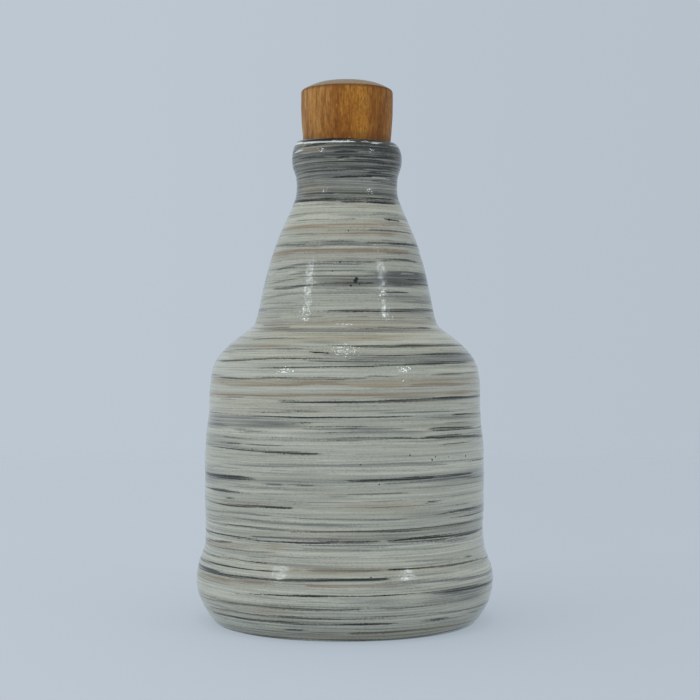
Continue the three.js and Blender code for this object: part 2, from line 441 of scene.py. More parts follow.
shoulderLines = [
    ("slate", 0.75, 0.8, (244, 340.6, 0.5), (258, 339.1), (272, 338.2), (311, 338.6, 0.5),
     (336, 340.6, 0.7)),
    ("umber", 0.55, 0.6, (345, 338.4), (384, 338.4)),
    ("umber", 0.75, 0.7, (325, 344.6), (330, 345.4), (350, 346.2)),
    ("ink", 1, 1.2, (336, 346.2, 0.6), (393, 346.9), (406, 346.2, 1.6), (432, 346, 1.7), (452, 345, 1.6),
     (462, 345.6, 0.6)),
    ("slate", 0.75, 0.7, (225, 351.4), (267, 348.6), (287, 348.4), (309, 348.7, 0.6)),
    ("ink", 0.95, 0.9, (306, 350.8, 0.3), (317, 352.4, 1.1), (321.5, 352.7, 0.6), (326.5, 353, 1.2),
     (333, 353.4, 0.3)),
    ("ink", 0.75, 1, (219, 360.2, 0.5), (227, 360.6), (241, 359.8), (272, 358.4, 0.9), (300, 358.4, 0.5),
     (352, 358.4, 0.4)),
    ("ink", 0.75, 0.9, (301, 359.8, 0.2), (314, 360.9, 0.5), (329, 361.2, 0.9), (352, 361.4, 0.7)),
    ("ink", 0.85, 1, (357, 356.2, 0.3), (391, 355.8, 0.5), (416, 354.6, 0.6), (440, 354, 1.5),
     (452, 353.9, 1.6), (472, 354.6, 0.8)),
    ("slate", 0.75, 2.2, (346, 359.6), (450, 359), (471, 359.6)),
    ("ink", 0.95, 0.75, (256, 368, 0.4), (272, 367.4, 0.8), (311, 367), (395, 365.2), (420, 364.2),
     (434, 363.8, 1.4), (447, 362.8, 2.2), (468, 361.8, 2.2)),
    ("ink", 0.6, 1, (428, 375.4, 0.5), (450, 374.2), (479, 371.4)),
    ("umber", 0.75, 1, (216, 375.8), (240, 378.8), (258, 378.9), (272, 378, 0.6), (304, 378.9, 1.2),
     (323, 378, 1.6), (338, 378.9, 1.6), (350, 378.2, 1.6)),
    ("plum", 0.75, 1, (345, 378.8), (362, 378.3), (373, 376.4), (398, 377.4)),
    ("rust", 0.6, 1.2, (219, 382.8), (232, 384.8), (250, 385.2), (287, 385), (317, 382.4), (335, 383.4),
     (350, 385)),
    ("tan", 0.7, 1.2, (345, 385), (385, 385.9), (408, 385.7)),
    ("rust", 0.6, 1.1, (408, 385.6), (434, 384), (479, 383.7, 0.6)),
    ("rust", 0.7, 0.9, (213, 392.8), (242, 395.3), (272, 396), (381, 394.4), (473, 391.4, 0.6)),
    ("ink", 0.85, 1, (276, 401), (308, 402), (359, 402, 0.8), (384, 401.6), (408, 400.7, 1.5),
     (452, 398, 1.6), (481, 395, 1.5)),
    ("ink", 0.65, 0.7, (230, 410.4, 0.4), (263, 411.8, 0.6), (281, 412), (312, 412), (328, 412.5, 0.3)),
    ("slate", 0.6, 0.8, (374, 413.6), (393, 413.1), (466, 409.5)),
    ("ink", 0.85, 0.85, (211, 412, 0.4), (243, 415, 0.5), (300, 417.2, 0.6), (348, 417.6, 0.9),
     (359, 417.4, 0.7), (384, 417.2, 0.9), (408, 416.6, 0.8), (428, 416.8, 0.5)),
    ("umber", 0.4, 1.5, (425, 417, 0.6), (446, 417.4), (481, 415)),
    ("ink", 0.8, 1.4, (450, 415.4, 0.5), (463, 415.4), (478, 414)),
]
bodyLines = [
    ("umber", 0.7, 0.7, (209, 423.8), (221, 424), (228, 426)),
    ("slate", 0.7, 0.8, (232, 428.6), (247, 431), (272, 431.9)),
    ("ink", 0.9, 0.7, (287, 423.4), (294, 424), (300, 423.4, 0.6), (306, 423.4), (320, 423.6, 0.3)),
    ("ink", 0.7, 0.5, (287, 427.3), (296, 427.3)),
    ("ink", 0.55, 0.8, (322, 432.2, 0.7), (331, 432.2, 0.8), (340, 428.8, 0.4), (350, 428.4, 1.2),
     (358, 427, 0.8), (367, 426.4, 0.7)),
    ("slate", 0.55, 0.7, (300, 429.2), (408, 428.6)),
    ("slate", 0.45, 0.8, (331, 432), (360, 432.1), (422, 431.2)),
    ("umber", 0.7, 0.9, (444, 423.4), (472, 422.4)),
    ("ink", 1, 1, (426, 430, 0.5), (436, 429, 2.6), (441, 428.8, 2.6), (476, 427.4, 0.6)),
    ("ink", 0.7, 0.8, (222, 435.4, 0.5), (243, 437.4, 0.5), (294, 438.1, 1.2), (317, 439), (356, 439, 2.4),
     (404, 438, 0.9), (422, 438.2)),
    ("ink", 0.85, 1.3, (420, 439, 0.4), (426, 437.9), (454, 436, 1.3), (474, 435.7), (482, 435.2, 0.5)),
    ("ink", 0.65, 0.8, (219, 442.4, 0.4), (239, 443.4), (243, 444)),
    ("slate", 0.75, 0.7, (246, 444.2), (260, 444.8), (286, 445.4, 0.5)),
    ("ink", 0.85, 1, (207, 443.6, 0.7), (214, 445.8, 0.8), (240, 449.4, 0.9), (311, 453.4, 1.5),
     (323, 453.5)),
    ("slate", 0.6, 0.6, (379, 447.1, 0.7), (434, 445.8)),
    ("ink", 0.65, 1, (432, 445.6, 0.5), (441, 445), (455, 443.7), (474, 440.4, 0.5)),
    ("ink", 0.75, 0.7, (466, 463.4), (471, 461.4), (477, 460.2)),
    ("smoke", 0.7, 1.1, (207, 462.4), (233, 464.7), (314, 465.7), (411, 463.7), (449, 464.4)),
    ("smoke", 0.45, 0.8, (298, 470.2), (350, 470.3), (420, 469.4)),
    ("ink", 1, 1.6, (206, 472.6, 0.7), (215, 474.9), (239, 477.5, 1.2), (260, 478.8, 0.4)),
    ("ink", 1, 0.95, (343, 480.8, 0.7), (357, 481, 0.7), (384, 479.8), (408, 478.4, 2.4), (418, 477.7, 2.4),
     (436, 476.4, 0.4), (448, 475.2, 0.5), (458, 474), (474, 472.2)),
    ("ink", 0.8, 1.1, (452, 477.8, 0.5), (468, 477.3, 1.2), (478, 476.4, 0.6)),
    ("slate", 0.7, 0.8, (381, 484.3), (436, 480.6), (460, 477.8)),
    ("plum", 0.75, 0.8, (255, 482.2), (287, 484.6)),
    ("ink", 0.65, 0.8, (287, 484.6, 0.8), (294, 484.2), (305, 484.8, 1.1), (323, 484.8, 0.5),
     (345, 484.8, 0.4)),
    ("smoke", 0.75, 0.7, (208, 481.6), (234, 486.2), (255, 487.7), (288, 488)),
    ("ink", 0.9, 1, (208, 487.3, 0.5), (218, 489.7), (226, 491, 1.2), (243, 492.8, 0.5), (256, 493.2, 0.3)),
    ("plum", 0.45, 0.8, (256, 493.4), (319, 493.4)),
    ("slate", 0.65, 1, (326, 496.9), (352, 496.6)),
    ("umber", 0.75, 0.9, (345, 494.6, 0.5), (401, 493, 1.1), (413, 493.4, 0.5)),
    ("ink", 0.8, 0.9, (224, 497.4, 0.6), (231, 498.1), (237, 498.8, 0.7)),
    ("ink", 0.85, 1.2, (206, 498.4, 0.6), (226, 504, 1.1), (258, 505.6), (297, 508, 0.5)),
    ("slate", 0.65, 0.7, (302, 508.4, 1.1), (348, 508.8, 0.6)),
    ("ink", 0.85, 0.8, (421, 503.3, 0.5), (434, 502.1, 1.2), (443, 501.3, 0.6)),
    ("slate", 0.65, 0.7, (432, 506.5), (454, 504.5), (471, 502.3)),
    ("umber", 0.55, 0.7, (345, 509.4, 0.7), (376, 508.2), (417, 507.6)),
    ("slate", 0.5, 0.9, (207, 508.8), (247, 512.8), (262, 515.4), (274, 515.9)),
    ("plum", 0.65, 0.8, (271, 517.8), (290, 518.4)),
    ("slate", 0.5, 0.8, (290, 518.9), (328, 520.2), (363, 520.4), (409, 518.6)),
    ("ink", 0.8, 0.9, (434, 514.6, 0.4), (463, 509.2, 0.7), (475, 507.8), (482, 505.8)),
    ("ink", 0.8, 0.8, (446, 519, 0.5), (454, 516.9), (479, 511.8)),
    ("slate", 0.5, 0.8, (230, 516.8, 0.8), (255, 520.4), (277, 522.6), (318, 525), (348, 525.4),
     (400, 522.8, 0.6)),
    ("ink", 0.65, 0.9, (209, 520.9, 0.6), (247, 526.4, 0.9), (274, 529.5, 1.2), (286, 530.2, 0.8),
     (292, 531.3, 1.1), (332, 532, 0.8), (384, 531.3), (403, 530.5), (436, 527.6), (477, 520)),
    ("ink", 0.9, 0.95, (206, 529.4, 0.7), (222, 534, 1.1), (262, 540.2, 0.8), (286, 541.7, 0.5),
     (314, 543, 0.9), (335, 542, 0.7), (384, 541.4, 0.9)),
    ("slate", 0.85, 1.2, (248, 536.4, 0.6), (260, 536.6), (284, 537.5), (301, 538.9), (345, 539.8)),
    ("ink", 0.95, 1.5, (384, 541, 0.4), (399, 540, 0.25), (414, 538.2, 0.4), (436, 536.8, 1.3),
     (454, 534.8, 1.4), (472, 531.6, 1.2), (480, 529, 0.7)),
    ("ink", 0.8, 1, (383, 541.6), (420, 540.6), (450, 538.4, 0.7)),
    ("ink", 0.8, 1.2, (456, 511, 0.5), (470, 509.8), (481, 507)),
]
footLines = [
    ("slate", 0.7, 0.8, (300, 544.6, 0.5), (374, 545.2), (402, 544), (431, 542.7), (449, 541), (471, 537)),
    ("umber", 0.8, 0.8, (208, 539.8), (235, 542.3)),
    ("umber", 0.5, 0.6, (209, 544), (219, 547.4), (237, 549.9), (258, 551.8), (280, 552.4, 0.6)),
    ("slate", 0.65, 0.6, (345, 551.1), (374, 550.4)),
    ("ink", 0.85, 0.8, (204, 550.8, 0.8), (216, 556), (236, 558.9), (248, 561.6, 0.8), (284, 563.8, 0.3)),
    ("plum", 0.5, 0.6, (243, 556.4), (274, 557)),
    ("ink", 0.8, 1, (464, 556.4), (473, 555.6, 0.6)),
    ("smoke", 0.55, 0.6, (404, 561), (462, 558)),
    ("ink", 0.9, 0.85, (200, 556.8, 0.8), (205, 560.2), (224, 565.3), (244, 569), (256, 570.2, 0.6),
     (286, 571.2, 1.3)),
    ("rust", 0.75, 1.4, (286, 570.8), (304, 570.5)),
    ("umber", 0.5, 1.2, (304, 570.5), (384, 570, 0.7)),
    ("ink", 0.8, 0.75, (384, 570), (412, 569, 0.6), (460, 563.5, 1.1), (478, 559.6), (488, 556.4, 0.6)),
    ("ink", 0.9, 1.1, (198, 562.8), (213, 569.4), (221, 572.2, 0.6)),
    ("ink", 1, 1, (199, 567.6, 0.7), (214, 572.4, 1.2), (224, 574.6, 1.2), (244, 577.2, 1.6),
     (268, 579.2, 1.5), (332, 580.2, 2), (360, 580.2, 1.8), (393, 578.6, 0.9)),
    ("milk", 0.5, 0.7, (300, 582.4), (388, 582)),
    ("rust", 0.5, 1.8, (200, 574.3), (208, 575.4), (217, 578.2, 1.2), (233, 581.6, 0.7)),
    ("rust", 0.75, 1.4, (304, 585.4), (377, 585.7), (406, 583.5)),
    ("plum", 0.9, 1.2, (380, 585.4, 0.5), (412, 583), (456, 579.6), (487, 573.6)),
    ("ink", 0.85, 0.8, (234, 593.4, 0.2), (257, 594, 0.3), (296, 595.3, 0.6), (348, 596, 0.8), (426, 593.4),
     (445, 591.6, 1.5), (460, 589.2, 2.2), (474, 586.4, 2), (488, 583.6, 1.2)),
    ("slate", 0.75, 0.8, (430, 594.2), (450, 593.4), (474, 591)),
    ("ink", 0.7, 1, (200, 594.6, 0.6), (219, 600.4, 0.9), (231, 603.3), (255, 606, 1.1), (322, 609.6),
     (368, 608.6, 1.2)),
    ("slate", 0.75, 0.8, (368, 609), (402, 607.3), (430, 605), (452, 602, 0.7), (482, 596, 0.7)),
    ("umber", 0.85, 0.9, (209, 605.4, 0.7), (231, 610.6), (250, 614), (278, 616, 0.8), (294, 617, 1.2),
     (312, 618.8), (348, 619)),
    ("umber", 0.75, 0.9, (345, 619), (374, 617.8), (406, 615.6, 0.5), (436, 612.5), (456, 611),
     (482, 604.6)),
    ("ink", 0.85, 0.95, (212, 611.4, 0.6), (231, 616, 0.9), (273, 621.4, 1.1), (281, 622, 1.3),
     (302, 624.1), (348, 624.7), (372, 624, 1.5), (390, 623.4, 1.3), (402, 622.8, 0.4)),
    ("ink", 0.9, 1.1, (418, 621, 0.6), (440, 618.4, 1.3), (452, 616.6, 0.5)),
    ("ink", 0.6, 0.9, (466, 613), (478, 610.2)),
    ("umber", 0.8, 0.8, (216, 616.2, 0.4), (239, 621.4, 0.6), (261, 624.8), (273, 626.2, 0.6),
     (296, 628.2, 0.4), (323, 629.2, 0.5)),
    ("umber", 0.6, 0.8, (225, 623.6, 0.4), (245, 627.2, 0.6), (265, 629.6), (290, 632)),
    ("ink", 0.85, 1.3, (284, 629), (308, 629.8)),
    # dark line along the foot's bottom edge: partly the glaze's edge, partly painted contact shadow
    ("ink", 0.65, 1.1, (222, 625.6, 0.3), (235, 630.6, 0.5), (265, 636.2, 1.3), (305, 639.4, 1.2),
     (345, 640.2), (385, 639.2), (425, 635.6), (455, 629.2, 1.2), (470, 623.4)),
    ("umber", 0.85, 1.1, (345, 633.4, 1.3), (386, 632.2), (412, 630), (441, 626.6), (474, 619.4)),
]

# soft washes, in the same form
washes = [
    ("slate", 0.9, 25, (292, 171), (402, 171)),
    ("umber", 0.35, 25, (292, 171), (402, 171)),
    ("ink", 0.95, 8, (322, 152, 0.3), (337, 152), (402, 155)),
    # dark paint along the crest of the lip, deepened into painted shade where the stopper sits in the lip
    ("ink", 1, 2.6, (296, 140.6), (344, 138.2), (398, 142.6)),
    ("umber", 0.5, 4.5, (336, 165), (369, 165)),
    ("ink", 0.9, 7.6, (364, 167), (402, 168)),
    ("ink", 0.5, 4, (298, 196, 0.3), (334, 195.6), (398, 197)),
    ("ink", 0.85, 2.6, (332, 161.8, 0.6), (356, 162), (402, 162.4)),
    ("ink", 0.7, 1.6, (292, 147.6), (308, 144.6)),
    ("slate", 0.5, 2.6, (386, 217), (406, 219)),
    ("slate", 0.55, 2.4, (398, 254), (422, 256.6)),
    ("ink", 0.85, 2.6, (378, 173), (397, 173)),
    ("ink", 0.7, 1.2, (296, 201), (330, 199.8), (394, 200)),
    ("ink", 0.8, 1.6, (378, 201.4), (397, 202.6)),
    ("ink", 0.8, 1.6, (398, 311.2), (432, 311.2)),
    ("ink", 0.6, 1.2, (352, 346, 0.6), (393, 346), (404, 345.3), (458, 344.6)),
    ("ink", 0.7, 1.4, (428, 363.6), (447, 362.2), (468, 361.8)),
    ("ink", 0.4, 1.2, (400, 401.2), (481, 395)),
    ("ink", 0.6, 1.4, (430, 437.4), (482, 435.4)),
    ("ink", 0.75, 1, (366, 480.8), (430, 477)),
    ("ink", 0.85, 1.1, (282, 580.1), (332, 580.6), (386, 579.8)),
    ("ink", 0.5, 1.8, (440, 591.2), (488, 583.8)),
    ("smoke", 0.6, 4, (320, 185), (393, 186)),
    ("tan", 0.8, 2.2, (302, 149.6), (322, 148)),
    ("tan", 0.55, 2.6, (303, 188), (320, 187)),
    ("plum", 0.6, 1.8, (337, 201), (370, 201)),
    ("tan", 0.4, 1.2, (345, 207), (384, 207)),
    ("tan", 0.5, 2.6, (286, 229), (324, 225.6), (345, 224.8), (400, 224.4)),
    ("rust", 0.45, 2.6, (273, 255.4), (300, 251), (350, 250.4), (390, 250.8), (411, 252)),
    ("rust", 0.7, 2, (322, 234.8), (402, 234)),
    ("slate", 0.45, 2, (394, 236), (412, 238)),
    ("slate", 0.65, 1.8, (316, 243.6, 0.7), (350, 243.4), (390, 244), (416, 246)),
    ("slate", 0.3, 3.5, (392, 221), (405, 228)),
    ("milk", 0.3, 3, (266, 281), (290, 276)),
    ("umber", 0.65, 5.5, (318, 283), (380, 283.5)),
    # a broad smoke wash over the bell: partly the slip's own tone, partly painted shade darkening the bell
    # where it faces up to the top lamp
    ("smoke", 0.2, 36, (256, 282), (350, 278), (434, 282)),
    ("slate", 1, 6.2, (374, 279, 0.9), (431, 280)),
    ("ink", 0.6, 5.4, (376, 279.6, 0.6), (396, 279.6), (432, 280)),
    ("slate", 0.3, 3, (384, 298), (432, 299)),
    ("tan", 0.3, 5, (314, 318.5), (434, 318.5)),
    ("slate", 0.4, 1.4, (258, 311), (300, 310.6)),
    ("smoke", 0.4, 5, (380, 318), (434, 318)),
    ("tan", 0.6, 1.2, (303, 324), (337, 324)),
    # painted shade in the crease under the bell
    ("umber", 0.5, 2.4, (262, 329.6), (436, 329.2)),
    ("tan", 0.55, 2.2, (316, 338), (350, 338.6), (400, 337)),
    ("slate", 0.55, 1.8, (232, 346), (257, 345.6)),
    ("milk", 0.5, 7, (214, 371), (280, 372), (340, 371)),
    ("milk", 0.35, 5, (240, 353), (300, 353)),
    ("rust", 0.6, 1.6, (254, 346.2), (290, 346)),
    ("slate", 0.7, 1.8, (318, 360), (352, 360)),
    ("slate", 0.35, 3.6, (360, 358), (470, 357)),
    ("tan", 0.6, 2.4, (215, 380.5), (243, 382.5), (348, 381.5)),
    ("tan", 0.7, 1.2, (431, 373.4), (448, 373.2)),
    ("tan", 0.45, 3, (345, 383), (450, 382)),
    ("milk", 0.5, 1.8, (213, 387.6), (243, 389.6), (300, 389.8), (345, 389)),
    ("tan", 0.6, 1.8, (213, 394), (270, 396), (345, 395.5), (470, 392)),
    ("slate", 0.6, 4.8, (209, 419.4), (262, 422)),
    ("slate", 1, 2.8, (246, 423, 0.8), (297, 424.4)),
    ("slate", 0.35, 3.4, (206, 440), (243, 441.4)),
    ("smoke", 0.3, 3.6, (330, 426.5), (380, 426)),
    ("slate", 0.4, 2, (420, 418), (472, 416.6)),
    ("slate", 0.7, 3, (204, 476.5), (236, 479.6)),
    ("slate", 0.65, 2.6, (430, 479, 0.8), (452, 478.2), (482, 476)),
    ("tan", 0.45, 1.6, (322, 494), (350, 494)),
    ("rust", 0.5, 2, (222, 503), (252, 505.6)),
    ("tan", 0.5, 3.4, (345, 507), (417, 506.6)),
    ("slate", 0.35, 3.4, (433, 530, 0.7), (456, 527.4), (482, 523.4)),
    ("plum", 0.55, 2.2, (383, 537.8), (400, 537.4)),
    ("umber", 0.5, 2.6, (320, 541, 0.7), (350, 541.6), (386, 541.4)),
    ("rust", 0.55, 1.8, (207, 541.6), (229, 545.4), (257, 546.6)),
    ("tan", 0.7, 2.6, (262, 547), (288, 547.6)),
    ("tan", 0.4, 1.2, (300, 550.6), (348, 550.8)),
    ("slate", 0.65, 1.8, (199, 566), (222, 573)),
    ("rust", 0.6, 2, (304, 570.6), (384, 570.2)),
    ("rust", 0.55, 2.4, (200, 574.6), (230, 581), (272, 583)),
    ("slate", 0.6, 3.2, (430, 595.4), (458, 592.4), (484, 588)),
    ("smoke", 0.5, 2.6, (345, 601.5), (400, 601)),
    ("slate", 0.45, 3, (430, 602.6), (460, 599), (482, 594)),
    ("slate", 0.55, 1.6, (288, 632.4), (350, 632.8)),
    ("tan", 0.75, 2.6, (216, 627), (250, 634.4), (290, 638)),
    ("tan", 0.55, 3, (300, 636), (380, 635), (440, 628), (472, 618)),
    ("tan", 0.5, 1.4, (270, 630.4), (290, 631.4)),
    ("rust", 0.45, 1.8, (209, 609), (226, 613)),
    ("rust", 0.4, 1.6, (255, 615.6), (280, 619), (305, 620.4)),
    ("ink", 0.8, 12, (318, 154), (402, 155)),
    ("slate", 0.55, 5, (340, 359), (400, 358.4), (470, 357)),
    ("rust", 0.3, 5, (262, 326), (350, 325), (430, 326)),
    ("tan", 0.6, 2, (255, 610), (290, 611.4)),
    ("slate", 0.4, 2, (212, 472), (243, 479.6), (333, 480.4), (400, 477), (478, 470)),
    ("ink", 0.35, 14, (384, 188), (402, 189)),
    ("slate", 0.6, 1.6, (308, 342), (336, 343)),
    ("slate", 0.55, 1.6, (322, 354.2), (345, 354.4)),
    ("slate", 0.3, 3, (300, 435.4), (420, 434.8)),
    ("slate", 0.4, 2, (214, 493), (250, 496), (352, 496.8)),
    ("slate", 0.35, 4, (404, 516), (478, 509)),
    ("slate", 0.5, 1.6, (368, 587), (412, 585)),
]

# patches where a nearly dry brush left broken marks: strength, width in mm, pixels
dryPatches = [
    (1, 7, (368, 152), (398, 153)),
    (0.7, 2.4, (345, 200), (372, 200)),
    (0.5, 5, (384, 280), (428, 280)),
    (0.65, 4, (288, 426), (370, 427)),
    (0.7, 2.4, (432, 512), (480, 509)),
    (0.6, 2.4, (262, 547), (288, 548)),
    (0.75, 4, (424, 437), (482, 434)),
    (0.8, 3, (436, 513), (482, 507)),
]

# dark specks in the glaze: pixels, then width in mm
specks = [
    (389, 219.5, 1.2), (385, 218.8, 0.6), (355.4, 280.6, 1.7), (356.6, 278.4, 1.3), (350.8, 285.6, 0.9),
    (339.8, 262.4, 0.8), (332.5, 271.2, 0.6), (359.6, 284.2, 0.5), (407.5, 271.3, 0.5), (407.5, 274.4, 0.5),
    (348.4, 230.6, 0.6), (424, 328.3, 0.7), (410, 455, 0.7), (432.4, 459.8, 0.8), (435.6, 456.8, 0.6),
    (448.7, 456.8, 0.5), (466, 456.1, 0.8), (371, 577.6, 0.8), (379.2, 484.6, 0.6), (360.4, 464.6, 0.6),
]

# finer hairs of the brush: from and to a height in mm, hairs in each mm, half lengths in mm, tones
hairs = {
    "zones": [
        (0.5, 16, 9, (40, 170), "umber slate umber smoke ink slate milk"),
        (16, 40, 7, (40, 170), "slate umber smoke milk smoke slate"),
        (40, 114, 7, (35, 160), "slate smoke umber smoke milk smoke"),
        (114, 170, 9, (25, 110), "slate smoke umber milk umber slate"),
        (170, 194.6, 9, (12, 60), "ink slate ink milk umber ink slate milk"),
    ],
    "widths": (0.05, 0.45),
    "strengths": (0.1, 0.55),
    "fadeEnd": 30 * mm,
    "longest": 0.95 * math.pi,  # half length as a turn
    "slope": 0.01,
    "seed": 23,
}


def lipSink(height, turn):  # how much lower the lip is there than on a true turned form
    right, front = bottle["lipDrop"]
    sink = right * np.sin(turn) + front * np.cos(turn)
    return sink * soften(height, *bottle["lipHeights"])


def leanAt(height):
    return np.interp(height, bottle["leanHeights"], bottle["leans"])


class BottleSurface:  # the outside of the bottle, by turn from the front and length up its outline
    def __init__(self, line, lengths):
        self.radii, self.heights = line.T
        self.lengths = lengths

    def radiusAt(self, height):
        return np.interp(height, self.heights, self.radii)

    def lengthAt(self, height):
        return np.interp(height, self.heights, self.lengths)

    def seenAt(self, column, row):  # turn and length of the place that a pixel of the photograph shows
        across = (column - photo["middlePx"]) / photo["focalPx"]
        rise = (photo["horizonPx"] - row) / photo["focalPx"]
        height = photo["height"] + rise * photo["distance"]
        turn = 0
        for _ in range(photo["sightSteps"]):
            level = height + lipSink(height, turn)
            offset = photo["aside"] - leanAt(level)
            a = 1 + across**2
            b = offset * across - photo["distance"]
            c = offset**2 + photo["distance"]**2 - self.radiusAt(level)**2
            depth = (-b - math.sqrt(max(b * b - a * c, 0))) / a
            height = photo["height"] + rise * depth
            turn = math.atan2(offset + across * depth, photo["distance"] - depth)
        return turn, self.lengthAt(level)


def strokePath(surface, pixels, spin, draw):  # turn, length and pressure at each point of a stroke
    path = [(*surface.seenAt(*pixel[:2]), *(pixel[2:] or (1,))) for pixel in pixels]
    runOn = draw.uniform(*bottle["runOn"], 2)
    if path[0][0] < -bottle["wrapTurn"]:
        path.insert(0, (path[0][0] - runOn[0], *path[0][1:]))
    if path[-1][0] > bottle["wrapTurn"]:
        path.append((path[-1][0] + runOn[1], *path[-1][1:]))
    turns, lengths, presses = np.array(path).T
    if spin:
        turns = np.clip(turns, -bottle["backTurn"], bottle["backTurn"])
        lengths = lengths + draw.uniform(-1, 1) * bottle["backShift"]
    return turns, lengths, presses


def ringsNear(coat, lengths, reach):  # the part of the coat within reach of these lengths
    low, high = np.searchsorted(coat["length"][:, 0], (lengths.min() - reach, lengths.max() + reach))
    return {name: layer[low:high] for name, layer in coat.items()}


def wavesAt(turn, waves, starts):
    return sum(far * np.sin(often * turn + start) for (far, often), start in zip(waves, starts))


# at each point: distance from the middle of the stroke, way inside its ends, pressure
def offStroke(coat, path, spin, draw):
    turns, lengths, presses = path
    middle = (turns[0] + turns[-1]) / 2
    turn = (coat["turn"] - spin - middle + math.pi) % (2 * math.pi) - math.pi + middle
    swayStarts, pressStarts = draw.uniform(0, 2 * math.pi, (2, 2))
    centre = np.interp(turn, turns, lengths) + wavesAt(turn, bottle["wander"], swayStarts)
    inside = np.minimum(turn - turns[0], turns[-1] - turn) * coat["radius"]
    press = 1 + wavesAt(turn, bottle["pressing"], pressStarts)
    return np.abs(coat["length"] - centre), inside, press * np.interp(turn, turns, presses)


def endsOf(inside):  # 0 to 1 across the ends of a broad stroke
    return soften(inside, -bottle["taper"], bottle["taper"])


def layLine(coat, layer, tone, strength, width, path, spin, draw, fadeEnd):
    near = ringsNear(coat, path[1], bottle["strokeReach"])
    off, inside, press = offStroke(near, path, spin, draw)
    end = np.clip(inside / bottle["taper"], 0, 1)
    tip = bottle["tipWidth"]
    half = width * mm * bottle["lineHalf"] * (1 + press) / 2 * (tip + (1 - tip) * np.sqrt(end))
    field = 0.5 + (half - off) / bottle["edgeBlur"]  # 0.5 on the edge of the line
    field += np.minimum(inside, 0) * 2 / bottle["taper"] + np.minimum(press - 1, 0) / 2
    better = field > near[layer + "Field"]
    near[layer + "Field"][better] = field[better]
    fade = strength * soften(inside, 0, fadeEnd)
    near[layer + "Tint"][better, :3] = tones[tone]
    near[layer + "Tint"][better, 3] = fade[better]


def layWash(coat, tone, strength, width, path, spin, draw):
    near = ringsNear(coat, path[1], bottle["strokeReach"] + width * mm)
    off, inside, press = offStroke(near, path, spin, draw)
    edge = min(bottle["washEdge"], width * mm / 2)
    give = bottle["washGive"]
    half = width * mm / 2 * (1 - give + give * press)
    cover = np.minimum(strength * press, 1) * soften(half - off, -edge, edge) * endsOf(inside)
    under = near["washTint"]
    total = cover + under[..., 3] * (1 - cover)
    share = (cover / np.maximum(total, tiny))[..., None]
    under[..., :3] = under[..., :3] * (1 - share) + np.array(tones[tone]) * share
    under[..., 3] = total


def layDry(coat, strength, width, path, spin, draw):
    near = ringsNear(coat, path[1], bottle["strokeReach"] + width * mm)
    off, inside, press = offStroke(near, path, spin, draw)
    half = width * mm / 2 * press
    field = strength * soften(half - off, -half / 2, half / 2) * endsOf(inside)
    np.maximum(near["dryField"], field, out=near["dryField"])


def layHairs(coat, surface):
    draw = np.random.default_rng(hairs["seed"])
    for low, high, perMm, halfLengths, names in hairs["zones"]:
        for height in draw.uniform(low, high, round((high - low) * perMm)) * mm:
            radius = surface.radiusAt(height)
            half = min(draw.uniform(*halfLengths) * mm / radius, hairs["longest"])
            middle = draw.uniform(-math.pi, math.pi)
            rise = draw.normal(0, hairs["slope"]) * half * radius
            turns = np.array([middle - half, middle + half])
            lengths = surface.lengthAt(height) + np.array([-rise, rise])
            tone = draw.choice(names.split())
            strength, width = draw.uniform(*hairs["strengths"]), draw.uniform(*hairs["widths"])
            layLine(coat, "hair", tone, strength, width, (turns, lengths, (1, 1)), 0, draw, hairs["fadeEnd"])


def brushedCoat(surface, turn, lengths, radii):
    shape = (len(lengths), len(turn))
    coat = {
        "turn": np.broadcast_to(turn, shape),
        "length": np.broadcast_to(lengths[:, None], shape),
        "radius": np.broadcast_to(radii[:, None], shape),
        "washTint": np.zeros((*shape, 4)),
        "dryField": np.zeros(shape),
    }
    coat["washTint"][...] = (*tones["smoke"], 0)
    for layer in ("line", "hair"):
        coat[layer + "Field"] = np.full(shape, -1.0)
        coat[layer + "Tint"] = np.zeros((*shape, 4))
        coat[layer + "Tint"][...] = (*tones["slate"], 0)
    layHairs(coat, surface)
    draw = np.random.default_rng(bottle["seed"])
    # the unseen half is brushed in the same manner, each stroke a little higher or lower
    for spin in (0, math.pi):
        for tone, strength, width, *pixels in lipLines + bellLines + shoulderLines + bodyLines + footLines:
            path = strokePath(surface, pixels, spin, draw)
            layLine(coat, "line", tone, strength, width, path, spin, draw, bottle["fadeEnd"])
        for tone, strength, width, *pixels in washes:
            layWash(coat, tone, strength, width, strokePath(surface, pixels, spin, draw), spin, draw)
        for strength, width, *pixels in dryPatches:
            layDry(coat, strength, width, strokePath(surface, pixels, spin, draw), spin, draw)
    return coat


def bottlePlaces(line, lengths, outside, turn):
    radii, heights = line.T
    out = squareTo(line)
    rough = soften(heights, *bottle["ridgeStart"]) * outside
    rough *= 1 - (1 - bottle["neckRidges"]) * soften(heights, *bottle["ridgeFade"])
    lift = ripples(bottle["ridges"], bottle["seed"], lengths, turn) * rough[:, None]
    uneven = soften(heights, *bottle["ovalStart"]) * (1 - soften(heights, *bottle["ovalEnd"]))
    uneven *= radii > bottle["ovalLeast"]
    oval = bottle["oval"] * np.cos(2 * turn + bottle["ovalTurn"]) * uneven[:, None]
    radius = radii[:, None] + out[:, :1] * lift + oval
    lean = (leanAt(heights) * soften(radii, 0, bottle["leanLeast"]))[:, None]
    x = radius * np.sin(turn) + lean
    y = -radius * np.cos(turn)
    z = heights[:, None] + out[:, 1:] * lift - lipSink(heights[:, None], turn)
    return np.stack([x, y, z], -1)


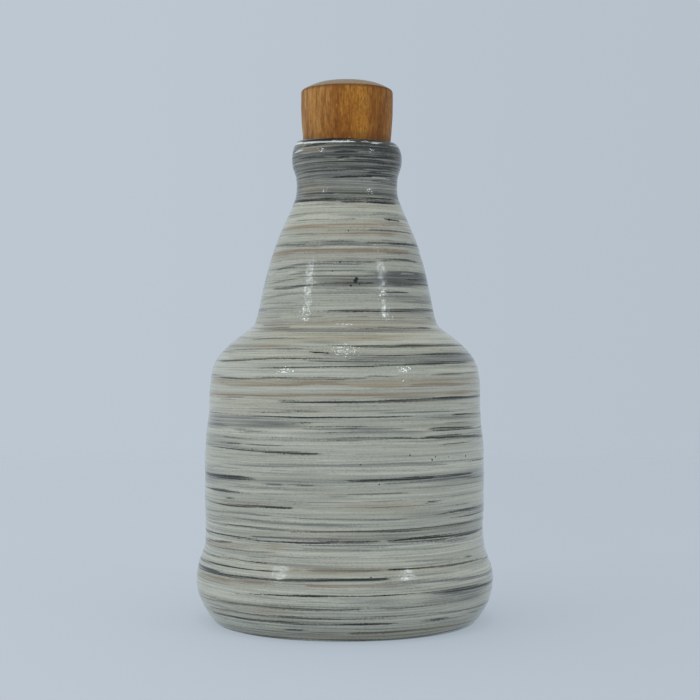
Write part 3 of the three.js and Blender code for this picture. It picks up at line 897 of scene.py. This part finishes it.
glaze = {
    "slip": (paint(181, 184, 170), paint(195, 198, 184)),
    "clay": (paint(150, 88, 58), paint(190, 122, 86)),
    "blot": paint(18, 19, 19),
    "sway": (40 * mm, 14 * mm, 1.6 * mm),  # sways of the brush marks: width, height and how far they go
    # brush marks: width and height in mm, shift, detail, roughness
    "marks": {
        "bristle": (45, 0.42, (0, 0, 0), 2, 0.5),
        "hairline": (75, 0.32, (7, 3, 9), 2, 0.6),
        "streak": (110, 1.2, (3, 1, 7), 3, 0.65),
        "tanStreak": (120, 3, (11, 5, 2), 2, 0.5),
        "paleStreak": (100, 0.9, (6, 13, 4), 3, 0.6),
        "band": (120, 6, (2, 8, 5), 2, 0.5),
    },
    # grains and pits, which don't sway with the brush, in the same form
    "grains": {
        "mottle": (1.1, 0.5, (0, 0, 0), 3, 0.65),
        "grit": (0.62, 0.45, (8, 2, 3), 1, 0.5),
        "peel": (1.3, 0.8, (5, 5, 5), 1, 0.5),
        "clay": (3, 3, (0, 0, 0), 4, 0.65),
    },
    # streaks in the slip: mark, where it starts and is full, share, tone
    "streaks": [
        ("tanStreak", 0.52, 0.7, 0.28, "tan"),
        ("streak", 0.53, 0.68, 0.42, "slate"),
        ("paleStreak", 0.53, 0.68, 0.4, "milk"),
    ],
    # how much each breaks up the edge of a stroke, a speck and the glaze
    "ragged": {"bristle": 1.6, "hairline": 1.6, "mottle": 0.8, "grit": 1.0},
    "blotRagged": 1.6,
    "edgeRagged": 0.4,
    # where each effect starts and is full
    "ranges": {
        "comb": (0.56, 0.66), "combStreak": (0.44, 0.56), "grit": (0.58, 0.74), "gritStreak": (0.4, 0.6),
        "wash": (0.34, 0.66), "dry": (1.14, 1.32), "wear": (0.36, 0.6), "core": (0.33, 0.72),
        "halo": (-0.3, 0.6), "blot": (0.3, 0.1), "fleckPick": (0.84, 0.86), "fleck": (0.07, 0.03),
        "edge": (0.45, 0.55),
    },
    # least and most that a noise lets through
    "amounts": {
        "mottle": (0.93, 1.05), "hairline": (0.82, 1.08), "grit": (0.12, 0.4), "wash": (0.4, 1.3),
        "wear": (0.52, 1.22),
    },
    "shares": {"comb": 0.22, "dry": 0.75, "core": 0.78, "halo": 0.22, "blot": 0.95, "fleck": 0.6},
    "dryMix": (0.7, 0.9, 0.46),  # mottle, bristles and the dry patch itself
    "fullest": 0.88,  # the middle of a stroke counts no more than this
    "fleckGap": 4.5 * mm,
    "peelHeights": (50 * mm, 110 * mm),
    "peelDepths": (0.1, 0.12),  # mm, below and above those heights
    "bristleDepth": 0.012,  # mm
    "gloss": (0.08, 0.13),
    "bareRough": 0.7,
}


def brushedGlaze(surface):
    material, tree = newMaterial("brushedGlaze")
    flat = objectPlace(tree)
    wide, high, far = glaze["sway"]
    sway = maths(tree, "MULTIPLY_ADD", noise(tree, stretched(tree, flat, wide, high)), far, -far / 2)
    lifted = addNode(tree, "CombineXYZ", {"Z": sway}).outputs[0]
    place = addNode(tree, "VectorMath", {0: flat, 1: lifted}, operation="ADD").outputs[0]
    mark = noises(tree, place, glaze["marks"]) | noises(tree, flat, glaze["grains"])

    ranges, amounts, shares = glaze["ranges"], glaze["amounts"], glaze["shares"]
    slip = blendColour(tree, ramp(tree, mark["band"], *noiseSpread), *(rgba(c) for c in glaze["slip"]))
    for name, low, high, share, tone in glaze["streaks"]:
        slip = tinted(tree, slip, ramp(tree, mark[name], low, high), tones[tone], share)
    comb = ramp(tree, mark["bristle"], *ranges["comb"])
    comb = maths(tree, "MULTIPLY", comb, ramp(tree, mark["streak"], *ranges["combStreak"]))
    slip = tinted(tree, slip, comb, tones["umber"], shares["comb"])
    grainy = 1
    for name in ("mottle", "hairline"):
        lightness = span(tree, ramp(tree, mark[name], *noiseSpread), *amounts[name])
        grainy = maths(tree, "MULTIPLY", grainy, lightness)
    grey = addNode(tree, "CombineColor", dict.fromkeys(range(3), grainy)).outputs[0]
    slip = blendColour(tree, 1, slip, grey, "MULTIPLY")
    often = span(tree, ramp(tree, mark["streak"], *ranges["gritStreak"]), *amounts["grit"])
    slip = tinted(tree, slip, ramp(tree, mark["grit"], *ranges["grit"]), tones["umber"], often)

    # washes, then the broken marks of the dry brush
    bristled = span(tree, ramp(tree, mark["hairline"], *ranges["wash"]), *amounts["wash"])
    washTint, washCover = readColour(tree, "washTint")
    brushed = blendColour(tree, maths(tree, "MULTIPLY", washCover, bristled, clamp=True), slip, washTint)
    dry = 0
    for part, amount in zip((mark["mottle"], mark["bristle"], readValue(tree, "dryField")), glaze["dryMix"]):
        dry = maths(tree, "MULTIPLY_ADD", part, amount, dry)
    brushed = tinted(tree, brushed, ramp(tree, dry, *ranges["dry"]), tones["ink"], shares["dry"])

    # hairs and lines, ragged at their edges and worn through along the bristles
    ragged = 0
    for name, amount in glaze["ragged"].items():
        ragged = maths(tree, "ADD", ragged, maths(tree, "MULTIPLY_ADD", mark[name], amount, -amount / 2))
    worn = span(tree, ramp(tree, mark["bristle"], *ranges["wear"]), *amounts["wear"])
    for layer in ("hair", "line"):
        tint, strength = readColour(tree, layer + "Tint")
        field = maths(tree, "MINIMUM", readValue(tree, layer + "Field"), glaze["fullest"])
        field = maths(tree, "ADD", field, ragged)
        core = maths(tree, "MULTIPLY", ramp(tree, field, *ranges["core"]), shares["core"])
        cover = maths(tree, "MULTIPLY_ADD", ramp(tree, field, *ranges["halo"]), shares["halo"], core)
        cover = maths(tree, "MULTIPLY", maths(tree, "MULTIPLY", cover, strength), worn, clamp=True)
        brushed = blendColour(tree, cover, brushed, tint)

    # specks, each a blot round its own place
    nearest = None
    for column, row, width in specks:
        turn, length = surface.seenAt(column, row)
        height = np.interp(length, surface.lengths, surface.heights)
        radius = surface.radiusAt(height)
        spot = (radius * math.sin(turn) + leanAt(height), -radius * math.cos(turn), height)
        gap = addNode(tree, "VectorMath", {0: flat, 1: spot}, operation="DISTANCE").outputs["Value"]
        gap = maths(tree, "DIVIDE", gap, width / 2 * mm)
        nearest = gap if nearest is None else maths(tree, "MINIMUM", nearest, gap)
    nearest = maths(tree, "MULTIPLY_ADD", mark["mottle"], -glaze["blotRagged"], nearest)
    brushed = tinted(tree, brushed, ramp(tree, nearest, *ranges["blot"]), glaze["blot"], shares["blot"])

    # flecks of iron, one in some cells of a pattern
    cell = glaze["fleckGap"]
    flecks = addNode(tree, "TexVoronoi", {"Vector": stretched(tree, flat, cell, cell), "Scale": 1}).outputs
    chance = addNode(tree, "SeparateColor", {0: flecks["Color"]}).outputs[0]
    chosen = ramp(tree, chance, *ranges["fleckPick"])
    fleck = maths(tree, "MULTIPLY", ramp(tree, flecks["Distance"], *ranges["fleck"]), chosen)
    brushed = tinted(tree, brushed, fleck, tones["umber"], shares["fleck"])

    # bare clay where the glaze ends
    bare = blendColour(tree, mark["clay"], *(rgba(c) for c in glaze["clay"]))
    far = glaze["edgeRagged"]
    uneven = maths(tree, "MULTIPLY_ADD", mark["clay"], far, -far / 2)
    glazed = maths(tree, "ADD", readValue(tree, "glazeCover"), uneven)
    glazed = ramp(tree, glazed, *ranges["edge"])

    height = addNode(tree, "SeparateXYZ", {0: flat}).outputs["Z"]
    peelDepth = span(tree, ramp(tree, height, *glaze["peelHeights"]), *glaze["peelDepths"])
    combed = maths(tree, "MULTIPLY", mark["bristle"], glaze["bristleDepth"])
    relief = maths(tree, "MULTIPLY_ADD", mark["peel"], peelDepth, combed)
    bump = addNode(tree, "Bump", {"Height": relief, "Strength": 1, "Distance": 1 * mm})
    gloss = span(tree, ramp(tree, mark["mottle"], *noiseSpread), *glaze["gloss"])
    dull = maths(tree, "MULTIPLY_ADD", glazed, -glaze["bareRough"], glaze["bareRough"])
    shader = addNode(tree, "BsdfPrincipled", {
        "Base Color": blendColour(tree, glazed, bare, brushed),
        "Roughness": maths(tree, "ADD", gloss, dull, clamp=True),
        "Normal": bump.outputs[0],
        "IOR": 1.5,
    })
    addNode(tree, "OutputMaterial", {"Surface": shader.outputs[0]})
    return material


def makeBottle():
    outline = readOutline("bottle_body")
    onGround = np.flatnonzero(outline[:, 1] < tiny)
    smooth, corners = smoothOutline(outline, onGround[-1])
    along = measure(smooth)
    crest = np.argmax(smooth[:, 1])
    footEdge = corners[-1]
    fineEnd = along[crest] + bottle["mouthDepth"]
    stops = [0, *along[corners], fineEnd, along[-1]]
    steps = [bottle["underStep"]] * (len(stops) - 3) + [bottle["ringStep"], bottle["insideStep"]]
    line, lengths = restep(smooth, stops, steps)

    turn = np.linspace(-math.pi, math.pi, bottle["around"], endpoint=False)
    onOutside = (lengths >= along[footEdge]) & (lengths <= along[crest])
    first, last = np.flatnonzero(onOutside)[[0, -1]]
    surface = BottleSurface(line[first:last + 1], lengths[first:last + 1])
    coat = brushedCoat(surface, turn, lengths, line[:, 0])

    upward = mapShare(lengths, onOutside)
    mesh = turnedMesh("glazedBottle", bottlePlaces(line, lengths, onOutside, turn), upward)
    glazeStart = along[footEdge] + bottle["glazeFoot"]
    glazeEnd = along[crest] + bottle["glazeMouth"]
    blur = bottle["glazeBlur"]
    cover = soften(lengths, glazeStart - blur, glazeStart + blur)
    cover *= soften(lengths, glazeEnd + blur, glazeEnd - blur)
    storeValue(mesh, "glazeCover", np.repeat(cover[:, None], len(turn), 1))
    for name, layer in coat.items():
        if name.endswith("Field"):
            storeValue(mesh, name, layer)
        if name.endswith("Tint"):
            storeColour(mesh, name, layer)
    addPiece(mesh, brushedGlaze(surface), "bottle", "bottle_body")
    print("bottle made:", len(mesh.polygons), "faces")


makeBottle()


# wooden stopper

stopper = {
    "around": 96,
    "ringStep": 0.6 * mm,
    "toolMarks": [(0.02 * mm, 7 * mm, 1), (0.03 * mm, 17 * mm, 0)],  # depth, pitch and climbs in one turn
    "toolStart": 4 * mm,  # height above the lip where they are full
    "shankCorners": 2,  # corners of the outline at the shank's lower end
    "domeRise": 21.2 * mm,  # from the crest of the lip to the edge of the dome
    "seed": 11,
    # grain: width and height in mm, shift, detail, roughness
    "grain": {
        "figure": (7, 40, (4, 4, 4), 3, 0.5),
        "strand": (1.5, 12, (2, 7, 1), 3, 0.6),
        "fibre": (0.6, 4, (0, 0, 0), 3, 0.65),
        "fleck": (0.9, 1.5, (5, 1, 8), 3, 0.6),
        "pore": (0.4, 3, (9, 2, 6), 2, 0.5),
        "endGrain": (0.9, 0.9, (1, 3, 5), 3, 0.6),
    },
    "figure": (paint(146, 86, 20), paint(180, 120, 38)),
    "figureRange": (0.32, 0.68),
    # darker and lighter wood along the grain: where it starts and is full, share, colour
    "strands": [
        ("strand", 0.5, 0.66, 0.6, paint(112, 64, 16)),
        ("strand", 0.48, 0.32, 0.5, paint(192, 140, 60)),
        ("fibre", 0.5, 0.68, 0.5, paint(100, 56, 14)),
        ("fibre", 0.46, 0.32, 0.38, paint(200, 152, 80)),
        ("fleck", 0.5, 0.66, 0.5, paint(106, 66, 28)),
        ("pore", 0.66, 0.76, 0.5, paint(70, 42, 20)),
    ],
    # painted sheen on the left side and painted shade on the right side: from and to how far aside, and how
    # much
    "leftSheen": paint(194, 156, 100),
    "leftSheenSide": (-2 * mm, -17 * mm),
    "leftSheenStrands": (0.35, 0.65),
    "leftSheenShares": (0.5, 0.08),  # between the strands and on them
    "woodShade": paint(92, 56, 24),
    "rightShadeSide": (3 * mm, 17 * mm),
    "rightShadeShare": 0.3,
    # painted shade on the wood just above the lip, where the stopper sits in it
    "seatShadeRise": 2.5 * mm,
    "seatShadeRagged": 2 * mm,
    "seatShadeShare": 0.25,
    "rim": paint(84, 54, 24),
    "rimDrop": (1.6 * mm, 0.5 * mm),  # from and to how far below the dome
    "rimShare": 0.6,
    # pale grey end grain of the dome, partly painted reflection of the pale room above it
    "dome": (paint(132, 115, 92), paint(170, 154, 130)),
    "domeBlur": 0.3 * mm,
    "domeGloss": 0.15,
    "ring": paint(112, 84, 54),
    "heart": (-24, 13, 0),  # mm
    "ringsPerMm": 3.6,
    "ringSway": 9,
    "ringRange": (0.1, 1),
    "ringShares": (0.1, 0.5),
    "poreRange": (0.66, 0.76),
    "poreDepth": 0.03,  # mm
    "fibreDepth": 0.02,  # mm
    "satin": (0.42, 0.58),
}


def turnedWood(seat):
    material, tree = newMaterial("varnishedWood")
    flat = objectPlace(tree)
    aside, _, height = addNode(tree, "SeparateXYZ", {0: flat}).outputs
    grain = noises(tree, flat, stopper["grain"])

    figure = ramp(tree, grain["figure"], *stopper["figureRange"])
    wood = blendColour(tree, figure, *(rgba(c) for c in stopper["figure"]))
    for name, low, high, share, colour in stopper["strands"]:
        wood = tinted(tree, wood, ramp(tree, grain[name], low, high), colour, share)
    # painted sheen on the left side, weaker on the dark strands
    share = span(tree, ramp(tree, grain["strand"], *stopper["leftSheenStrands"]), *stopper["leftSheenShares"])
    wood = tinted(tree, wood, ramp(tree, aside, *stopper["leftSheenSide"]), stopper["leftSheen"], share)
    # painted shade on the right side
    rightShade = ramp(tree, aside, *stopper["rightShadeSide"])
    wood = tinted(tree, wood, rightShade, stopper["woodShade"], stopper["rightShadeShare"])
    # painted shade just above the lip, where the stopper sits in it
    seatShade = maths(tree, "MULTIPLY_ADD", grain["fibre"], -stopper["seatShadeRagged"], height)
    seatShade = ramp(tree, seatShade, seat + stopper["seatShadeRise"], seat)
    wood = tinted(tree, wood, seatShade, stopper["woodShade"], stopper["seatShadeShare"])
    edge = seat + stopper["domeRise"]
    rim = ramp(tree, height, *(edge - drop for drop in stopper["rimDrop"]))
    wood = tinted(tree, wood, rim, stopper["rim"], stopper["rimShare"])

    # end grain on the dome, with growth rings round a heart that lies outside the stopper; its pale grey
    # ground is partly painted reflection of the pale room above
    dome = blendColour(tree, grain["endGrain"], *(rgba(c) for c in stopper["dome"]))
    level = addNode(tree, "VectorMath", {0: flat, 1: (1 / mm, 1 / mm, 0)}, operation="MULTIPLY").outputs[0]
    far = addNode(tree, "VectorMath", {0: level, 1: stopper["heart"]}, operation="DISTANCE").outputs["Value"]
    ring = maths(tree, "MULTIPLY", far, stopper["ringsPerMm"])
    ring = maths(tree, "MULTIPLY_ADD", grain["figure"], stopper["ringSway"], ring)
    ring = ramp(tree, maths(tree, "SINE", ring), *stopper["ringRange"])
    share = span(tree, grain["endGrain"], *stopper["ringShares"])
    dome = tinted(tree, dome, ring, stopper["ring"], share)
    onDome = ramp(tree, height, edge - stopper["domeBlur"], edge + stopper["domeBlur"])
    wood = blendColour(tree, onDome, wood, dome)

    pore = maths(tree, "MULTIPLY", ramp(tree, grain["pore"], *stopper["poreRange"]), -stopper["poreDepth"])
    relief = maths(tree, "MULTIPLY_ADD", grain["fibre"], stopper["fibreDepth"], pore)
    bump = addNode(tree, "Bump", {"Height": relief, "Strength": 1, "Distance": 1 * mm})
    satin = span(tree, ramp(tree, grain["fibre"], *noiseSpread), *stopper["satin"])
    shader = addNode(tree, "BsdfPrincipled", {
        "Base Color": wood,
        "Roughness": maths(tree, "MULTIPLY_ADD", onDome, -stopper["domeGloss"], satin),
        "Normal": bump.outputs[0],
        "IOR": 1.5,
        "Specular IOR Level": 0.22,
    })
    addNode(tree, "OutputMaterial", {"Surface": shader.outputs[0]})
    return material


def makeStopper():
    smooth, corners = smoothOutline(readOutline("stopper"), stopper["shankCorners"])
    along = measure(smooth)
    stops = [0, *along[corners], along[-1]]
    line, lengths = restep(smooth, stops, [stopper["ringStep"]] * (len(stops) - 1))
    turn = np.linspace(-math.pi, math.pi, stopper["around"], endpoint=False)
    out = squareTo(line)
    seat = readOutline("bottle_body")[:, 1].max()  # crest of the lip
    lift = ripples(stopper["toolMarks"], stopper["seed"], lengths, turn)
    lift *= soften(line[:, 1:], seat, seat + stopper["toolStart"])
    radius = line[:, :1] + out[:, :1] * lift
    z = line[:, 1:] + out[:, 1:] * lift
    places = np.stack([radius * np.sin(turn), -radius * np.cos(turn), z], -1)
    upward = mapShare(lengths, line[:, 1] > seat)
    mesh = turnedMesh("woodStopper", places, upward)
    addPiece(mesh, turnedWood(seat), "stopper", "stopper")
    print("stopper made:", len(mesh.polygons), "faces")


makeStopper()


# studio: a pale floor that runs out into a pale room, two small lamps in front and one above

studio = {
    "roomLeft": paint(189, 199, 209),
    "roomRight": paint(183, 193, 203),
    "roomTop": paint(120, 126, 132),
    "topFade": (0.25, 0.85),  # from and to how steep a look upwards
    "viewEdge": 0.22,  # sideways share of a line of sight at the edges of the photograph
    "floor": paint(206, 214, 223),
    # the floor as seen, darker to the right: painted shade from the weaker light on that side
    "floorLeft": paint(186, 197, 208),
    "floorRight": paint(176, 189, 202),
    "floorSpread": 0.16,  # how far aside the floor turns from one colour to the other
    "floorGlow": (0.35, 0.6),  # for light on its way to the bottle, and as seen
    "floorRadius": 3.0,
    "floorSides": 96,
    "fadeStart": 0.5,
    "fadeEnd": 1.6,
    "lightLeft": (1.0, 1.0, 1.0),
    "lightRight": (0.66, 0.66, 0.66),
    "aim": (0, 0, 0.11),
    "lampColour": (0.84, 0.93, 1),
    # turn from the camera's side, angle above level, distance, width, watts
    "lamps": {
        "leftLamp": (-54, 25.5, 1.2, 0.07, 0.74),
        "rightLamp": (54, 25.5, 1.2, 0.07, 0.72),
        "topLamp": (0, 78, 1.3, 0.16, 1.0),
    },
}


def seenRays(tree):  # 1 for what the camera sees, straight or in a reflection
    rays = addNode(tree, "LightPath").outputs
    seen = maths(tree, "MAXIMUM", rays["Is Camera Ray"], rays["Is Glossy Ray"])
    return maths(tree, "MAXIMUM", seen, rays["Is Transmission Ray"])


def makeFloor():
    radius = studio["floorRadius"]
    turns = np.linspace(0, 2 * math.pi, studio["floorSides"], endpoint=False)
    rim = [(radius * math.cos(turn), radius * math.sin(turn), 0) for turn in turns]
    mesh = bpy.data.meshes.new("paleFloor")
    mesh.from_pydata(rim, [], [list(range(len(rim)))])
    material, tree = newMaterial("paleFloor")
    flat = objectPlace(tree)
    far = addNode(tree, "VectorMath", {0: flat}, operation="LENGTH").outputs["Value"]
    fade = ramp(tree, far, studio["fadeStart"], studio["fadeEnd"])
    paper = addNode(tree, "BsdfPrincipled", {"Base Color": rgba(studio["floor"]), "Roughness": 0.7})
    aside = addNode(tree, "SeparateXYZ", {0: flat}).outputs["X"]
    across = ramp(tree, aside, -studio["floorSpread"], studio["floorSpread"])
    seen = blendColour(tree, across, rgba(studio["floorLeft"]), rgba(studio["floorRight"]))
    pale = addNode(tree, "Emission", {"Color": seen, "Strength": 1})
    glow = span(tree, seenRays(tree), *studio["floorGlow"])
    paper = addNode(tree, "MixShader", {0: glow, 1: paper.outputs[0], 2: pale.outputs[0]})
    clear = addNode(tree, "BsdfTransparent")
    mixed = addNode(tree, "MixShader", {0: fade, 1: paper.outputs[0], 2: clear.outputs[0]})
    addNode(tree, "OutputMaterial", {"Surface": mixed.outputs[0]})
    mesh.materials.append(material)
    floor = bpy.data.objects.new("paleFloor", mesh)
    bpy.context.scene.collection.objects.link(floor)


def makeRoom():
    world = bpy.data.worlds.new("paleRoom")
    bpy.context.scene.world = world
    world.use_nodes = True
    tree = world.node_tree
    tree.nodes.clear()
    way = addNode(tree, "TexCoord").outputs["Generated"]
    aside, _, upward = addNode(tree, "SeparateXYZ", {0: way}).outputs
    across = ramp(tree, aside, -studio["viewEdge"], studio["viewEdge"])
    room = blendColour(tree, across, rgba(studio["roomLeft"]), rgba(studio["roomRight"]))
    room = blendColour(tree, ramp(tree, upward, *studio["topFade"]), room, rgba(studio["roomTop"]))
    across = ramp(tree, aside, -1, 1)
    light = blendColour(tree, across, rgba(studio["lightLeft"]), rgba(studio["lightRight"]))
    seen = seenRays(tree)
    background = addNode(tree, "Background", {"Color": blendColour(tree, seen, light, room), "Strength": 1})
    addNode(tree, "OutputWorld", {"Surface": background.outputs[0]})


def makeLamps():
    aim = Vector(studio["aim"])
    for name, (turn, rise, distance, width, watts) in studio["lamps"].items():
        lamp = bpy.data.lights.new(name, "AREA")
        lamp.shape = "SQUARE"
        lamp.size = width
        lamp.energy = watts
        lamp.color = studio["lampColour"]
        holder = bpy.data.objects.new(name, lamp)
        a, e = math.radians(turn), math.radians(rise)
        away = Vector((math.sin(a) * math.cos(e), -math.cos(a) * math.cos(e), math.sin(e)))
        holder.location = aim + away * distance
        holder.rotation_euler = away.to_track_quat("Z", "Y").to_euler()
        holder.visible_camera = False
        bpy.context.scene.collection.objects.link(holder)


makeFloor()
makeRoom()
makeLamps()
bpy.context.scene.view_settings.view_transform = "Standard"
print("studio lit")
